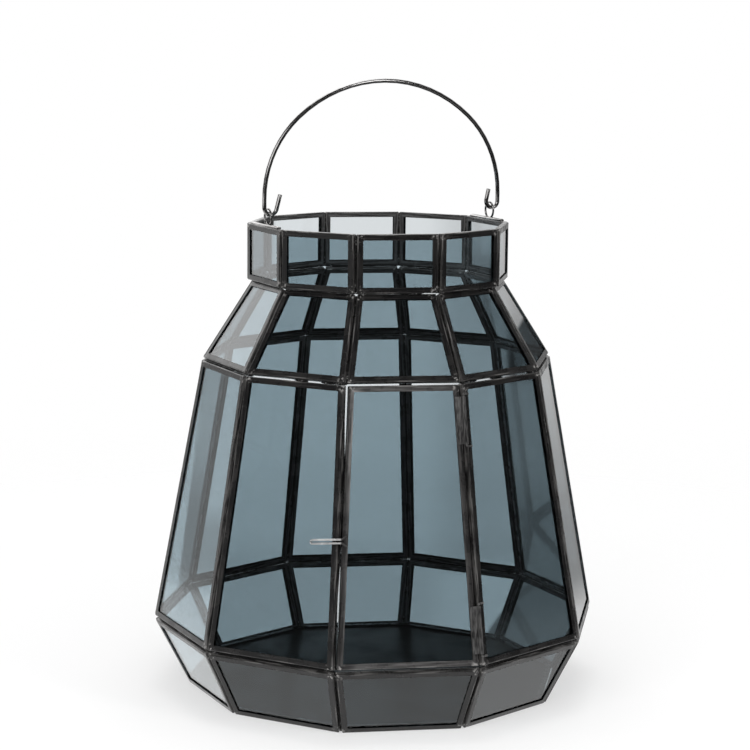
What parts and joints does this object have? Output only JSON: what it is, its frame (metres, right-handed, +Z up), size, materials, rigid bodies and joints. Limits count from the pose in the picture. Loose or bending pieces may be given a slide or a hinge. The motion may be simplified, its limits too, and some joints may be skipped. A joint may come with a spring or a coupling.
{
  "type": "candle lantern",
  "caption": "Many-sided candle lantern of smoked glass panes in narrow black metal frames, with an open top, a hinged door and a wire bail handle.",
  "frame": {"origin": "on the ground under the lantern's middle", "axes": "+Z up, -Y the way the door faces, +X to the right as seen from the front"},
  "size_m": [0.2616, 0.2503, 0.3548],
  "materials": {
    "blackened_frame": "black patina, satin, worn to brown and silver at the corners",
    "smoked_glass": "smoke-blue sheet glass",
    "solder": "dull tin solder, partly blackened",
    "floor_plate": "black, semi-gloss",
    "blackened_wire": "blackened steel wire",
    "bright_wire": "tinned steel wire",
    "hinge_metal": "tinned and partly blackened sheet"
  },
  "bodies": {
    "lantern": {"neck_frame_1": "blackened_frame", "neck_frame_2": "blackened_frame", "neck_frame_3": "blackened_frame", "neck_frame_4": "blackened_frame", "neck_frame_5": "blackened_frame", "neck_frame_6": "blackened_frame", "neck_frame_7": "blackened_frame", "neck_frame_8": "blackened_frame", "neck_frame_9": "blackened_frame", "neck_frame_10": "blackened_frame", "shoulder_frame_1": "blackened_frame", "shoulder_frame_2": "blackened_frame", "shoulder_frame_3": "blackened_frame", "shoulder_frame_4": "blackened_frame", "shoulder_frame_5": "blackened_frame", "shoulder_frame_6": "blackened_frame", "shoulder_frame_7": "blackened_frame", "shoulder_frame_8": "blackened_frame", "shoulder_frame_9": "blackened_frame", "shoulder_frame_10": "blackened_frame", "base_frame_1": "blackened_frame", "base_frame_2": "blackened_frame", "base_frame_3": "blackened_frame", "base_frame_4": "blackened_frame", "base_frame_5": "blackened_frame", "base_frame_6": "blackened_frame", "base_frame_7": "blackened_frame", "base_frame_8": "blackened_frame", "base_frame_9": "blackened_frame", "base_frame_10": "blackened_frame", "body_frame_2": "blackened_frame", "body_frame_3": "blackened_frame", "body_frame_4": "blackened_frame", "body_frame_5": "blackened_frame", "body_frame_6": "blackened_frame", "body_frame_7": "blackened_frame", "body_frame_8": "blackened_frame", "body_frame_9": "blackened_frame", "body_frame_10": "blackened_frame", "neck_glass": "smoked_glass", "shoulder_glass": "smoked_glass", "body_glass": "smoked_glass", "base_glass": "smoked_glass", "solder_neck": "solder", "solder_shoulder": "solder", "solder_body": "solder", "solder_base": "solder", "floor_frame": "blackened_frame", "floor_plate": "floor_plate", "hinge_pins": "hinge_metal", "hanger_strip_left": "blackened_wire", "hanger_strip_right": "blackened_wire", "hanger_ring_left": "blackened_wire", "hanger_ring_right": "blackened_wire"},
    "door": {"door_frame": "blackened_frame", "door_glass": "smoked_glass", "door_pull": "bright_wire", "hinge_knuckle_lower": "hinge_metal", "hinge_knuckle_upper": "hinge_metal"},
    "handle": {"handle": "blackened_wire"}
  },
  "joints": [
    {"name": "door_hinge", "type": "hinge", "parent": "lantern", "child": "door", "pos_m": [0.0408, -0.12557, 0.04138], "axis": [-0.0566, 0.1743, 0.9831], "range_deg": [0, 200]},
    {"name": "handle_swing", "type": "hinge", "parent": "lantern", "child": "handle", "pos_m": [0.00099, -0.00304, 0.27895], "axis": [0.9511, 0.309, 0], "range_deg": [-94, 94]}
  ]
}
